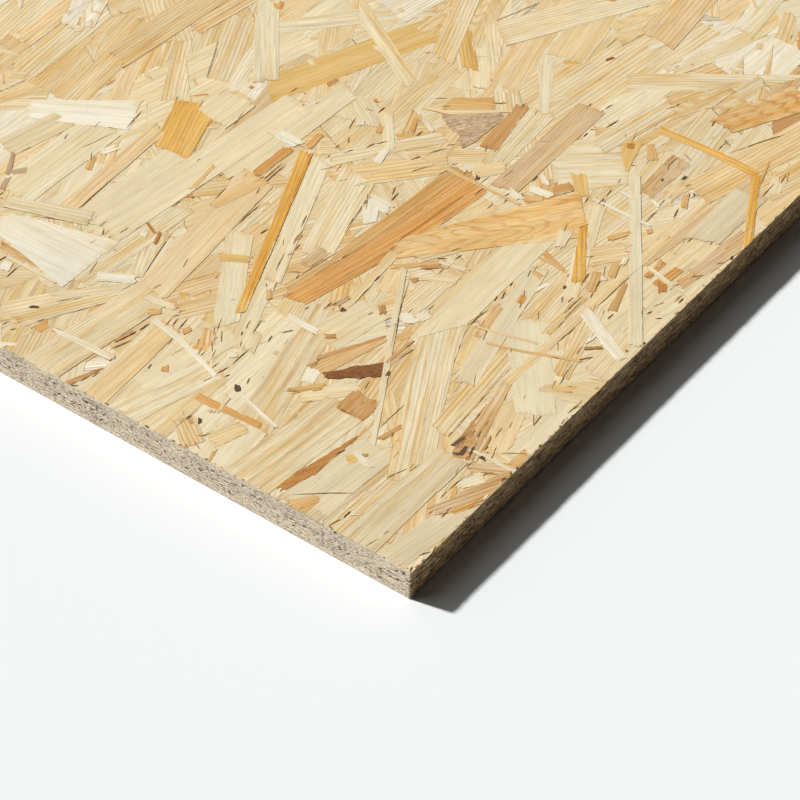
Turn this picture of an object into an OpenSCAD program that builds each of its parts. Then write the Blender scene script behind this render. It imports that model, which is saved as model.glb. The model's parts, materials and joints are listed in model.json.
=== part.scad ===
// Oriented strand board (OSB) panel: one full sheet with plain square-sawn edges, lying flat.
// The origin is in the middle of the underside. +X runs along the length, the way the strands
// of both faces mostly lie, +Y across the width, and +Z up.

/* [Sheet] */
// Length of the sheet, along the face strands
panel_length = 2500; // [600:10:3000]
// Width of the sheet, across the face strands
panel_width = 1250; // [300:5:1500]
// Thickness of the sheet
panel_thickness = 18; // [6:0.5:30]

/* [Sawn edges] */
// Radius of the four upright corners, blunted by handling
corner_radius = 1; // [1:0.5:12]
// Width of the small bevel along the arrises, where saw and handling took the sharp edge off
arris = 0.4; // [0.1:0.1:0.8]

/* [Hidden] */
$fn = 64;
straight_length = panel_length - 2 * corner_radius;
straight_width = panel_width - 2 * corner_radius;

// Half of the sheet's section, from a middle line out to the sawn edge at `reach`
module half_section(reach) {
    polygon([
        [0, 0],
        [reach - arris, 0],
        [reach, arris],
        [reach, panel_thickness - arris],
        [reach - arris, panel_thickness],
        [0, panel_thickness]
    ]);
}

// Section from edge to edge of a run that is `across` wide, drawn out to `run` long along X
module sawn_run(across, run) {
    rotate([90, 0, 90])
        linear_extrude(run, center = true)
            for (side = [0, 1])
                mirror([side, 0])
                    half_section(across / 2);
}

// The same section turned round an upright corner
module blunted_corner() {
    rotate_extrude()
        half_section(corner_radius);
}

module osb_panel() {
    color("burlywood") {
        sawn_run(panel_width, straight_length);
        rotate(90)
            sawn_run(panel_length, straight_width);
        for (end = [-1, 1], side = [-1, 1])
            translate([end * straight_length / 2, side * straight_width / 2])
                blunted_corner();
    }
}

osb_panel();
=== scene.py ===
import json
import math

import bmesh
import bpy
import numpy as np
from mathutils import Matrix, Vector

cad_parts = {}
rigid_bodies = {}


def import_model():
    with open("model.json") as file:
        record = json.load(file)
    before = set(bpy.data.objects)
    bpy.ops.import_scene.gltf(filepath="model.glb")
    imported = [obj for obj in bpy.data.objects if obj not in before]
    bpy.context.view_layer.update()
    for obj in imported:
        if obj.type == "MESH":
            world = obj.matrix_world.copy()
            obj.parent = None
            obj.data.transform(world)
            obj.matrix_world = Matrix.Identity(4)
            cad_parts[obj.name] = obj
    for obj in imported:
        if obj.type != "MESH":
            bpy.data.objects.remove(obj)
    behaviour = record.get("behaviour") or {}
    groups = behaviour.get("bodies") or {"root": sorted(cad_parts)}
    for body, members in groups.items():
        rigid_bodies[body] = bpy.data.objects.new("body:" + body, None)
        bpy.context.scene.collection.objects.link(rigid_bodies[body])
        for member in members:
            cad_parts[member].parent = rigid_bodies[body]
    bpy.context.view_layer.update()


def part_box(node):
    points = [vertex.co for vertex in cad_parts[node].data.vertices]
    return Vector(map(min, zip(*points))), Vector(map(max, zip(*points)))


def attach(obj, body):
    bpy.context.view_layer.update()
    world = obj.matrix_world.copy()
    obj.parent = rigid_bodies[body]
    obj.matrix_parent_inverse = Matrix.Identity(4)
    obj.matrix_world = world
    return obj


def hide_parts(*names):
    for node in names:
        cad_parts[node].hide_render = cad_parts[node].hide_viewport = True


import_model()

# A sheet of oriented strand board: a core with sawn sides, and strands pressed into both of its faces

# Sizes are in metres, and written in millimetres times MM
MM = 0.001
PANEL_LOW, PANEL_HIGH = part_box("osb_panel")
PANEL_SIZE = PANEL_HIGH - PANEL_LOW
THICKNESS = PANEL_SIZE.z
CORNER_RADIUS = 1 * MM
SEED = 20

# A flake is this thick in its middle, and thins out towards its rim
STRAND_THICKNESS = 0.3 * MM
# How far under the face the listed strands lie, in mm, from lift 0 up to the loose ones of lift 5
LIFTS = [0.29, 0.26, 0.23, 0.19, 0.14, 0.08]
# Each place further down their list lifts a strand by this much, in mm, so that the later of two lies above
LAID_STEP = 0.0001
# The bed, the lowest layer of flakes, lies between these depths under the face, in mm
BED_DEPTHS = (0.31, 0.35)
# Chips that stay at the bottom lie this much above the bed, in mm
CHIP_LIFT = 0.03
# Listed torn bits and cracks lie between these depths, in mm
BIT_DEPTHS = (0.05, 0.07)
# One end of a strand lies up to this much higher than the other, and so does one side
LEAN = 0.03 * MM
# The core stays this far under the faces, so that only the gaps between strands show it
CORE_INSET = 0.5 * MM
# The saw tears the face strands back this far from the sawn sides
TORN_BACK = 0.12 * MM

# Wood tones of the strands, from sapwood white to bark, split wood and knots; the split, gap and knot
# tones also paint the shade in cracks, gaps and voids between strands
TONES = {
    "white": "#F1EAD3",
    "grey": "#DED5BF",
    "cream": "#EBDDB9",
    "straw": "#E9D7AE",
    "stone": "#DDCCA7",
    "wheat": "#E6CC9A",
    "peach": "#EBD0A0",
    "pink": "#D8BB90",
    "honey": "#E3BD74",
    "amber": "#E8BB64",
    "sand": "#E8C386",
    "tan": "#DDB578",
    "orange": "#DAA661",
    "brown": "#C99B62",
    "dun": "#BFA380",
    "rust": "#BE8645",
    "split": "#AC8450",
    "gap": "#8A663A",
    "bark": "#86552A",
    "knot": "#5C4630",
}
# Strands of one tone are darker or lighter by a factor in this range
SHADES = (0.94, 1.04)

# Grain figures: ring pitch in mm, how strongly the late wood shows, and how wavy the rings run
FIGURES = {
    "smooth": (5.0, 0.2, 0.6),
    "plain": (3.6, 0.42, 0.6),
    "fine": (1.7, 0.75, 0.4),
    "lined": (2.3, 0.95, 0.35),
    "striped": (2.4, 0.75, 0.2),
    "broad": (6.5, 0.75, 0.6),
    "wavy": (3.4, 0.85, 2.4),
    "rough": (2.0, 0.4, 4.0),
}

# Blanks that strands are made from: how many of a kind, the steps in a torn end, how far the steps differ
# in mm and as a share of the length, the points along a side and how far they wander in mm, how slanted
# the ends are, how wide they are as a share of the middle, and whether it is as wide below as above
BLANKS = {
    "bed": (4, 1, 0, 0.05, 1, 0, 0.2, 1, True),
    "flake": (12, 4, 2.5, 0, 1, 0.3, 0.4, 1, False),
    "face_flake": (16, 6, 1.8, 0, 4, 0.3, 0.5, 1, False),
    "splinter": (6, 2, 1.5, 0.02, 1, 0.1, 0.6, 0.8, False),
    "shred": (12, 4, 1.1, 0.08, 3, 0.25, 0.5, 1, False),
    "chip": (8, 2, 0, 0.2, 1, 0, 0.5, 0.9, False),
    "bark": (4, 6, 1.5, 0.04, 8, 0.7, 0.3, 0.9, False),
    "crack": (10, 1, 0, 0.1, 5, 0.16, 0.6, 0.2, False),
}

# Strands scattered over a face, from the lowest layer up: kind of blank, how many, lengths, widths and
# depths under the face in mm, and the spread of their headings in degrees
LAYERS = [
    ("bed", 2400, (100, 150), (28, 46), BED_DEPTHS, 16),
    ("flake", 3000, (55, 125), (7, 24), (0.13, 0.28), 24),
    ("splinter", 1200, (15, 60), (1.2, 3.2), (0.07, 0.14), 40),
    ("chip", 4500, (2.5, 14), (1.0, 4.0), (0.07, 0.25), 60),
]
# Small torn bits sit along the sawn edges of the upper face, the dark ones painted shade in notches: how
# far apart on average, how far back from the edge most of them are, and their lengths, widths and
# depths, in mm
EDGE_CHIP_SPACING = 5
EDGE_CHIP_BACK = 0.7
EDGE_CHIP_LENGTHS = (1.2, 5)
EDGE_CHIP_WIDTHS = (0.6, 1.5)
EDGE_CHIP_DEPTHS = (0.06, 0.1)

# How often each tone turns up among the scattered strands, chips, bits along the edges and cracks; the
# gap, split and knot tones among them also paint the shade in gaps, cracks, notches and voids
TONE_CHANCES = {
    "white": 8, "grey": 1, "cream": 24, "straw": 28, "wheat": 16, "peach": 8, "pink": 4, "honey": 4, "tan": 3,
    "amber": 1.2, "orange": 1.6, "brown": 1, "rust": 0.4, "bark": 0.3,
}
CHIP_CHANCES = {
    "white": 14, "cream": 22, "straw": 20, "wheat": 14, "peach": 6, "honey": 7, "tan": 5, "amber": 3,
    "orange": 4, "brown": 3, "rust": 2, "bark": 2, "knot": 3,
}
EDGE_CHANCES = {"white": 24, "cream": 22, "wheat": 12, "brown": 10, "split": 10, "gap": 14, "knot": 8}
CRACK_CHANCES = {"brown": 4, "rust": 4, "split": 6, "gap": 3}
# The same between the listed strands
QUIET_CHANCES = {"cream": 26, "straw": 40, "wheat": 22, "peach": 10}
# How often each figure turns up
FIGURE_CHANCES = {"plain": 30, "fine": 22, "lined": 22, "striped": 10, "broad": 8, "wavy": 8}

# Strands that lie uppermost round the corner in view: tone, figure, the two ends of the middle line
# (mm from the corner, along the length and across the width), the widths at both ends, and the lift; on
# curved ones also how far the middle stands off the straight line between the ends
LAID_STRANDS = [
    ("stone", "broad", -8, 31, 75, 30, 21, 18, 4),
    ("stone", "smooth", -8, 14, 56, 4, 16, 14, 2),
    ("pink", "lined", 38, 15, 82, -4, 8, 14, 3),
    ("tan", "lined", 41, 9, 62, 0, 3, 6, 3),
    ("tan", "fine", 50, 13, 59, 17, 2.5, 2, 4),
    ("cream", "smooth", 58, 16, 73, 9, 4, 8, 4),
    ("cream", "plain", 82, 27, 83, -3, 2, 3, 5),
    ("pink", "lined", 72, 20, 85, -4, 5, 14, 2),
    ("stone", "smooth", 90, 6, 140, 6, 11, 12, 2),
    ("brown", "rough", 72, 26, 99, 35, 9, 3, 3),
    ("split", "rough", 78, 33, 94, 32, 4, 3, 4),
    ("tan", "plain", 84, 4, 98, 3, 5, 5, 3),
    ("pink", "lined", 76, 25, 130, 38, 10, 5, 3),
    ("brown", "plain", 80, 33, 112, 37, 1.5, 1, 3),
    ("brown", "plain", 84, 27, 105, 30, 1.5, 1, 3),
    ("peach", "plain", 86, 15, 122, 27, 14, 14, 1),
    ("wheat", "smooth", 100, 22, 120, 28, 9, 9, 2),
    ("cream", "striped", 48, 36, 150, 88, 22, 22, 3, 3),
    ("straw", "lined", 82, 44, 150, 50, 11, 13, 3),
    ("stone", "smooth", 3, 66, 60, 60, 26, 20, 2),
    ("rust", "wavy", 5, 81, 26, 77, 4, 7, 4),
    ("rust", "wavy", 22, 77, 57, 73, 7, 1, 4),
    ("straw", "broad", -12, 98, 70, 89, 28, 24, 3),
    ("tan", "fine", -4, 70, 14, 63, 14, 5, 3),
    ("stone", "lined", -6, 57, 62, 51, 12, 11, 1),
    ("straw", "lined", -6, 45, 60, 42, 11, 8, 1),
    ("white", "smooth", 43, 55, 48, 69, 4, 4, 5),
    ("cream", "plain", 53, 62, 166, 126, 3, 4, 5),
    ("brown", "plain", 60, 64, 76, 60, 3, 3, 4),
    ("honey", "plain", 64, 55, 69, 61, 5, 4, 3),
    ("honey", "plain", 40, 68, 48, 63, 6, 4, 3),
    ("wheat", "plain", 64, 53, 88, 80, 8, 8, 2),
    ("brown", "wavy", 65, 85, 82, 86, 17, 16, 4),
    ("bark", "rough", 79, 111, 103, 88, 5, 11, 5),
    ("tan", "lined", 80, 116, 119, 102, 11, 4, 3),
    ("brown", "plain", 86, 121, 120, 103, 3, 2, 4),
    ("tan", "plain", 121, 99, 131, 94, 5, 5, 3),
    ("white", "smooth", 69, 116, 84, 118, 11, 9, 2),
    ("tan", "lined", 60, 118, 75, 105, 4, 4, 4),
    ("straw", "plain", 61, 112, 84, 91, 10, 9, 3),
    ("pink", "lined", 104, 92, 122, 89, 5, 5, 3),
    ("orange", "plain", 31, 151, 34, 113, 5, 4, 5),
    ("cream", "plain", 26, 137, 42, 139, 5, 5, 5),
    ("white", "plain", 60, 201, 47, 149, 4, 3, 5, 2),
    ("white", "plain", 46, 138, 37, 106, 2, 3, 5),
    ("cream", "plain", -6, 112, 44, 117, 16, 16, 1),
    ("straw", "broad", 30, 116, 120, 137, 20, 18, 2),
    ("wheat", "fine", 10, 127, 30, 119, 11, 9, 3),
    ("tan", "plain", -2, 118, 9, 121, 2, 2, 4),
    ("straw", "plain", 98, 127, 134, 118, 22, 18, 2),
    ("straw", "smooth", 122, 85, 232, 87, 17, 20, 3),
    ("sand", "wavy", 172, 137, 252, 77, 14, 34, 4),
    ("cream", "plain", 222, 73, 237, 78, 5, 7, 5),
    ("amber", "lined", 208, 51, 244, 73, 7, 4, 5),
    ("straw", "plain", 194, 47, 263, 77, 8, 9, 3),
    ("tan", "plain", 145, 64, 164, 17, 2, 2, 5, -1),
    ("wheat", "plain", 152, 73, 161, 41, 2, 2, 5),
    ("stone", "smooth", 116, 54, 206, 73, 12, 11, 4),
    ("straw", "lined", 170, 52, 212, 55, 18, 16, 2),
    ("wheat", "lined", 168, 43, 202, 43, 5, 4, 3),
    ("wheat", "plain", 128, 38, 264, 35, 5, 5, 4),
    ("white", "plain", 194, 38, 176, 2, 7, 6, 5),
    ("cream", "plain", 188, 3, 292, 75, 7, 6, 5),
    ("wheat", "smooth", 137, 24, 150, -4, 6, 22, 3),
    ("honey", "smooth", 139, 20, 146, 9, 3, 5, 4),
    ("brown", "plain", 200, 26, 224, 33, 5, 2, 4),
    ("cream", "plain", 213, 9, 230, 4, 8, 8, 2),
    ("orange", "plain", 231, 27, 247, 26, 4, 3, 3),
    ("orange", "lined", 228, 20, 249, 17, 6, 5, 3),
    ("orange", "plain", 238, 12, 262, 10, 3, 2, 3),
    ("pink", "lined", 236, 11, 290, 6, 7, 7, 3),
    ("rust", "plain", 227, 14, 234, 19, 4, 5, 4),
    ("cream", "plain", 239, 32, 231, -2, 3, 3, 5),
    ("straw", "lined", 148, 20, 202, 34, 9, 8, 2),
    ("cream", "plain", 116, 13, 166, 30, 12, 11, 1),
    ("cream", "smooth", 120, 14, 172, 57, 20, 22, 3),
    ("straw", "fine", 158, 7, 194, 9, 14, 14, 1),
    ("straw", "fine", 140, 106, 178, 105, 13, 13, 3),
    ("straw", "plain", 159, 123, 173, 97, 4, 4, 4),
    ("tan", "plain", 160, 131, 181, 111, 4, 3, 3),
    ("straw", "lined", 172, 124, 196, 109, 5, 4, 3),
    ("cream", "plain", 178, 116, 182, 98, 3, 3, 4),
    ("wheat", "lined", 236, 171, 237, 104, 3, 2, 5),
    ("wheat", "plain", 206, 125, 232, 118, 12, 12, 1),
    ("white", "plain", 186, 66, 200, 62, 3, 2, 3),
    ("tan", "plain", 200, 66, 202, 74, 4, 3, 4),
    ("tan", "plain", 211, 60, 214, 77, 2, 7, 4),
    ("tan", "striped", 205, 42, 222, 49, 5, 4, 3),
    ("wheat", "lined", 226, 58, 244, 44, 14, 12, 3),
    ("white", "plain", 132, 105, 146, 96, 9, 7, 2),
    ("pink", "wavy", 146, 67, 174, 72, 5, 6, 3),
    ("pink", "fine", 241, 120, 321, 120, 15, 15, 4),
    ("cream", "broad", 270, 112, 296, 82, 40, 34, 2),
    ("honey", "plain", 260, 84, 275, 98, 6, 8, 4),
    ("tan", "wavy", 240, 98, 264, 102, 16, 10, 1),
    ("honey", "plain", 287, 80, 314, 90, 6, 10, 2),
    ("rust", "plain", 305, 87, 310, 89, 4, 4, 3),
    ("tan", "plain", 304, 72, 316, 82, 6, 4, 3),
    ("amber", "lined", 327, 84, 329, 24, 5, 5, 5, 1),
    ("amber", "lined", 329, 26, 272, -5, 5, 4, 5),
    ("honey", "lined", 316, 19, 342, 26, 3, 1, 5),
    ("stone", "smooth", 270, 20, 316, 20, 17, 18, 4),
    ("wheat", "striped", 298, 42, 384, 19, 20, 20, 2),
    ("tan", "wavy", 348, 60, 396, 38, 14, 20, 4),
    ("pink", "wavy", 281, 62, 316, 62, 10, 12, 2),
    ("cream", "lined", 296, 101, 348, 90, 13, 14, 3),
    ("white", "plain", 263, 81, 264, 44, 2, 2, 5),
    ("white", "plain", 276, 75, 275, 63, 2, 2, 5),
    ("white", "plain", 281, 58, 278, 50, 2, 2, 4),
    ("pink", "plain", 238, 34, 327, 24, 6, 7, 3),
    ("pink", "fine", 248, 9, 292, 2, 9, 8, 3),
    ("straw", "plain", 320, 11, 335, 15, 7, 8, 3),
    ("wheat", "lined", 316, 16, 376, -2, 14, 16, 2),
    ("straw", "fine", -16, 224, 76, 211, 23, 22, 4),
    ("white", "plain", 25, 235, 27, 197, 3, 5, 5),
    ("wheat", "plain", -10, 188, 63, 190, 15, 12, 4),
    ("brown", "wavy", -2, 205, 20, 197, 4, 1, 4),
    ("cream", "broad", -10, 173, 52, 155, 18, 16, 2),
    ("straw", "smooth", 18, 174, 78, 163, 16, 14, 1),
    ("wheat", "plain", 121, 131, 172, 135, 4, 6, 4),
    ("wheat", "lined", 4, 130, 16, 147, 12, 12, 3),
    ("honey", "plain", 56, 169, 64, 170, 7, 7, 1),
    ("peach", "lined", 61, 167, 73, 174, 8, 8, 1),
    ("wheat", "plain", -6, 148, 52, 149, 8, 8, 2),
    ("amber", "lined", 89, 169, 204, 215, 5, 7, 5),
    ("cream", "plain", 78, 169, 136, 205, 13, 14, 3),
    ("honey", "plain", 114, 203, 123, 187, 6, 5, 4),
    ("cream", "plain", 116, 170, 206, 206, 9, 10, 4),
    ("peach", "plain", 70, 212, 174, 222, 18, 20, 4),
    ("sand", "smooth", 141, 227, 174, 221, 5, 12, 5),
    ("rust", "plain", 101, 232, 112, 236, 2, 2, 5),
    ("rust", "plain", 108, 236, 113, 246, 2, 2, 5),
    ("straw", "plain", 70, 149, 85, 155, 6, 6, 2),
    ("cream", "fine", 58, 245, 134, 238, 14, 13, 2),
    ("straw", "lined", 18, 251, 70, 221, 9, 8, 3),
    ("straw", "plain", 42, 249, 74, 221, 6, 6, 3),
    ("cream", "plain", 70, 214, 73, 195, 3, 4, 5),
    ("wheat", "lined", 71, 195, 93, 179, 12, 11, 2),
    ("cream", "plain", 68, 155, 142, 181, 9, 9, 1),
    ("white", "plain", 102, 151, 102, 129, 4, 4, 4),
    ("tan", "lined", 116, 160, 240, 144, 9, 15, 2, -2.5),
    ("orange", "lined", 112, 154, 240, 133, 13, 18, 3, -3),
    ("brown", "plain", 132, 157, 206, 143, 1, 1.5, 4),
    ("brown", "plain", 122, 149, 174, 138, 1, 1, 4),
    ("rust", "plain", 176, 139, 226, 133, 1, 2, 4),
    ("cream", "striped", 143, 164, 207, 184, 16, 20, 3),
    ("white", "smooth", 179, 157, 193, 167, 7, 9, 4),
    ("white", "smooth", 195, 170, 194, 155, 8, 8, 4),
    ("pink", "plain", 135, 165, 152, 164, 6, 9, 4),
    ("orange", "lined", 172, 225, 201, 223, 5, 6, 4),
    ("white", "plain", 206, 237, 205, 219, 7, 7, 5),
    ("straw", "smooth", 94, 258, 232, 240, 21, 19, 4),
    ("straw", "smooth", 162, 233, 256, 226, 14, 14, 3),
    ("orange", "plain", 139, 240, 143, 240, 3, 3, 5),
    ("wheat", "lined", 194, 193, 241, 152, 16, 14, 3),
    ("straw", "lined", 201, 206, 256, 166, 10, 9, 2),
    ("cream", "plain", 229, 182, 254, 202, 6, 6, 3),
    ("white", "smooth", 69, 306, 72, 247, 14, 44, 4),
    ("white", "plain", 66, 242, 78, 222, 7, 6, 5),
    ("cream", "lined", 81, 312, 98, 268, 9, 11, 5),
    ("cream", "plain", 87, 312, 158, 308, 25, 24, 3),
    ("peach", "striped", 94, 283, 173, 284, 9, 9, 4),
    ("straw", "smooth", 90, 268, 166, 262, 22, 20, 2),
    ("dun", "plain", 97, 322, 113, 331, 3, 2, 4),
    ("dun", "plain", 99, 323, 107, 316, 3, 5, 4),
    ("straw", "plain", 111, 337, 149, 326, 15, 15, 3),
    ("white", "plain", 138, 297, 148, 292, 5, 4, 3),
    ("tan", "plain", 124, 293, 135, 297, 4, 3, 3),
    ("amber", "fine", 160, 268, 199, 281, 20, 24, 4),
    ("straw", "smooth", 192, 268, 217, 266, 21, 20, 5),
    ("white", "smooth", 142, 347, 173, 299, 14, 24, 3),
    ("honey", "plain", 144, 243, 168, 245, 3, 2, 5),
    ("tan", "lined", 55, 292, 56, 262, 7, 3, 2),
    ("cream", "plain", 51, 290, 51, 252, 2, 2, 5),
    ("straw", "lined", 18, 262, 48, 240, 14, 12, 2),
    ("orange", "plain", 18, 240, 28, 238, 6, 5, 2),
    ("dun", "rough", 261, 168, 289, 152, 36, 4, 4),
    ("brown", "plain", 261, 144, 300, 149, 10, 7, 4),
    ("tan", "plain", 276, 182, 292, 160, 10, 10, 2),
    ("peach", "plain", 266, 190, 293, 150, 3, 2, 5, -4),
    ("cream", "fine", 252, 135, 302, 138, 12, 14, 2),
    ("wheat", "plain", 242, 140, 257, 127, 10, 8, 3),
    ("wheat", "lined", 244, 182, 263, 189, 6, 6, 2),
    ("wheat", "lined", 305, 110, 312, 99, 8, 6, 3),
]

# Small torn bits and cracks among them, by tone: the two ends and the width, in mm. The gap and split
# bits are painted shade in the gaps and cracks between strands, and the knot bits are knots and painted
# shade where strands cross
BITS = {
    "knot": [
        (74, 31, 77, 27, 2), (75, 27, 84, 28, 2.5), (78, 34, 88, 32, 1.8), (79, 24, 85, 25, 1.5),
        (81, 20, 81, 15, 2.3), (45, 136, 50, 140, 3), (17, 137, 21, 140, 2), (238, 134, 242, 136, 2),
        (200, 54, 203, 55, 1.5), (40, 74, 46, 72, 1.2), (302, 53, 306, 53, 1.6), (295, 60, 297, 62, 1.6),
        (30, 253, 33, 248, 2), (120, 130, 124, 131, 3),
    ],
    "gap": [
        (9, 46, 15, 46, 1.3), (0, 49, 9, 46, 0.7), (41, 46, 55, 41, 1), (37, 10, 44, 10, 1.1),
        (46, 18, 54, 18, 0.9), (53, 18, 68, 17, 0.8), (6, 75, 26, 51, 0.9), (66, 68, 88, 68, 0.7),
        (76, 23, 83, 24, 1.2), (84, 25, 88, 26, 1.2), (90, 27, 96, 29, 0.9), (70, 21, 78, 19, 0.9),
        (86, 20, 89, 20, 1), (11, 4, 17, 1, 0.9), (73, 2, 78, 0, 1.1), (12, 25, 16, 24, 0.7),
        (66, 60, 69, 61, 1.4), (52, 136, 57, 138, 1.2), (26, 138, 29, 138, 1), (33, 135, 35, 113, 0.9),
        (67, 109, 72, 105, 0.9), (30, 203, 44, 198, 1.3), (49, 200, 58, 199, 1.4),
        (61, 189, 70, 191, 1.2), (60, 185, 72, 187, 0.9), (71, 193, 75, 191, 1), (31, 180, 36, 181, 0.9),
        (77, 159, 80, 160, 1.2), (48, 152, 58, 150, 1.1), (57, 150, 75, 150, 0.8),
        (15, 144, 20, 144, 1.1), (81, 146, 87, 147, 0.9), (90, 145, 96, 141, 1), (110, 146, 114, 145, 1),
        (118, 138, 131, 134, 1), (147, 131, 153, 131, 1.4), (125, 129, 147, 130, 0.7),
        (110, 94, 168, 122, 0.7), (111, 89, 121, 87, 0.9), (142, 98, 153, 98, 0.9),
        (170, 109, 178, 109, 0.9), (184, 109, 190, 108, 0.9), (179, 117, 183, 112, 1),
        (188, 114, 194, 111, 0.9), (113, 11, 122, 12, 1.1), (122, 1, 127, 2, 0.9), (130, 3, 138, 2, 1),
        (143, 17, 160, 21, 0.8), (146, 64, 154, 67, 1.3), (150, 76, 166, 75, 1), (172, 76, 176, 77, 1.2),
        (175, 74, 182, 76, 0.9), (185, 76, 189, 77, 0.9), (175, 63, 180, 65, 1.4),
        (183, 66, 188, 69, 0.9), (185, 44, 203, 44, 1), (193, 47, 199, 47, 1), (173, 41, 200, 42, 0.7),
        (207, 49, 218, 51, 1.2), (202, 40, 209, 42, 0.9), (210, 42, 218, 44, 1.3),
        (219, 44, 227, 48, 1.1), (168, 35, 181, 34, 0.8), (195, 25, 201, 25, 1.2),
        (162, 21, 170, 15, 1.4), (166, 23, 173, 24, 1), (210, 12, 214, 11, 1.2), (210, 7, 213, 4, 1.2),
        (226, 4, 231, 4, 1.4), (246, 9, 251, 5, 1), (261, 5, 265, 2, 1), (264, 50, 272, 50, 0.9),
        (240, 74, 247, 71, 1.3), (247, 125, 257, 124, 1), (237, 132, 246, 131, 0.8),
        (228, 129, 237, 128, 1.4), (254, 112, 261, 112, 1.3), (261, 76, 267, 76, 1.2),
        (267, 76, 275, 77, 0.8), (280, 77, 284, 78, 1), (196, 73, 202, 75, 1.1), (275, 40, 284, 43, 1),
        (265, 50, 277, 50, 1), (278, 51, 285, 52, 0.9), (296, 42, 298, 43, 1.4), (333, 46, 365, 30, 1),
        (345, 64, 350, 65, 1.1), (331, 51, 341, 52, 0.9), (315, 14, 329, 15, 1), (330, 12, 338, 14, 1.2),
        (98, 211, 105, 213, 1.2), (162, 215, 168, 217, 1.1), (167, 217, 191, 217, 1),
        (145, 229, 158, 230, 1.4), (140, 196, 146, 195, 1.2), (101, 194, 105, 194, 1.1),
        (123, 173, 137, 178, 1.1), (136, 176, 140, 174, 1.2), (157, 183, 166, 186, 1.3),
        (125, 162, 129, 163, 1.1), (180, 166, 198, 170, 0.8), (199, 159, 208, 160, 1.1),
        (203, 161, 210, 164, 1.3), (222, 165, 236, 157, 1), (230, 170, 236, 167, 1.4),
        (213, 200, 219, 197, 1.4), (224, 193, 230, 191, 1.3), (229, 191, 235, 187, 1.3),
        (249, 204, 255, 204, 1.1), (246, 178, 253, 178, 1.1), (239, 166, 250, 160, 1),
        (298, 111, 303, 111, 1.3), (310, 106, 321, 104, 1.3), (80, 296, 97, 261, 0.9),
        (38, 275, 50, 275, 1), (44, 286, 52, 284, 1.2), (24, 243, 28, 241, 1.2), (131, 296, 137, 300, 1),
        (160, 297, 178, 300, 1), (196, 256, 212, 259, 1), (92, 257, 96, 259, 1.2),
        (98, 251, 104, 250, 1.2), (135, 317, 140, 318, 1.2), (0, 1, 4, 2, 1.2),
    ],
    "split": [
        (0, 27, 9, 25, 0.8), (42, 11, 46, 10, 1), (72, 14, 77, 5, 1.4), (88, 14, 98, 0, 0.7),
        (53, 2, 58, 1, 1), (10, 198, 16, 197, 1.2), (50, 183, 56, 184, 1), (80, 155, 94, 158, 0.8),
        (82, 160, 89, 162, 0.8), (40, 154, 47, 152, 0.9), (5, 145, 28, 144, 0.7), (67, 163, 75, 169, 1.2),
        (137, 209, 159, 209, 0.9), (169, 219, 191, 219, 0.8), (141, 175, 147, 176, 1),
        (143, 178, 156, 181, 1.4), (165, 163, 190, 169, 0.8), (128, 162, 152, 158, 0.9),
        (200, 194, 207, 195, 1), (206, 204, 209, 204, 1), (221, 202, 226, 205, 1.3),
        (229, 208, 240, 211, 1.2), (214, 205, 218, 205, 1.2), (248, 212, 249, 206, 0.9),
        (258, 82, 263, 83, 1), (317, 57, 320, 65, 1), (304, 63, 308, 65, 1.4), (202, 34, 240, 33, 0.6),
        (171, 23, 178, 15, 2), (182, 6, 184, 4, 1.6), (75, 221, 120, 232, 0.8), (98, 278, 126, 279, 1),
        (65, 244, 76, 247, 1), (134, 306, 156, 300, 0.8), (230, 152, 236, 150, 0.9),
        (194, 174, 203, 176, 0.9),
    ],
    "brown": [
        (36, 205, 49, 201, 2), (47, 64, 50, 61, 2.5), (84, 20, 96, 23, 1.5), (103, 92, 126, 91, 1.8),
        (101, 127, 105, 122, 4), (255, 100, 265, 93, 7), (131, 113, 136, 118, 4), (158, 117, 163, 114, 3),
        (169, 119, 177, 111, 3.5), (147, 179, 153, 180, 2), (15, 140, 17, 144, 2), (231, 28, 237, 25, 2),
    ],
    "tan": [
        (152, 68, 172, 71, 3.5), (220, 40, 234, 45, 4.5), (243, 58, 255, 51, 4), (242, 109, 247, 99, 5),
        (284, 40, 296, 46, 3.5), (259, 43, 262, 46, 3), (105, 163, 112, 169, 3.5), (61, 183, 67, 181, 4),
        (62, 205, 67, 199, 4), (240, 27, 248, 28, 3),
    ],
    "orange": [
        (34, 172, 39, 175, 4), (178, 65, 185, 67, 3.5), (236, 194, 243, 197, 3),
        (247, 181, 259, 187, 2.5), (205, 216, 219, 217, 4),
    ],
    "dun": [
        (121, 135, 132, 133, 2.6), (203, 130, 213, 130, 1.4), (224, 118, 230, 118, 1.2),
        (86, 317, 97, 321, 3),
    ],
    "white": [
        (216, 42, 220, 43, 3), (231, 41, 239, 43, 3), (174, 24, 185, 22, 1.5), (12, 45, 15, 42, 1.2),
        (62, 152, 67, 156, 5), (138, 98, 147, 96, 6), (243, 119, 240, 108, 4), (250, 111, 252, 96, 5),
        (262, 112, 257, 103, 3), (203, 207, 202, 196, 3.5), (235, 205, 241, 208, 4),
        (254, 173, 259, 180, 3), (217, 182, 231, 184, 5), (102, 240, 108, 242, 4), (41, 279, 50, 281, 6),
    ],
}

# Listed strands that are no wider than this are splinters, in mm
SPLINTER_WIDTH = 4
# Those shorter than this are shreds, unless they are slivers, no wider than the second value, in mm
SHRED_LENGTH = 30
SLIVER_WIDTH = 2
# Bits narrower than this, in mm, are cracks, and those are made at this share of their width
CRACK_WIDTH = 1.5
CRACK_SHARE = 0.5
# Strands wider than this have short cracks where their ends tore, painted as dark slivers of shade, in mm
CRACKED_WIDTH = 6

# Corners of the area that the strands above cover, in mm from the corner in view
LAID_AREA = [(0, 0), (330, 0), (385, 37), (135, 358), (0, 246)]
# Other strands stay low up to this far outside that area, so that they do not reach over into it
LAID_MARGIN = 60


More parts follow.
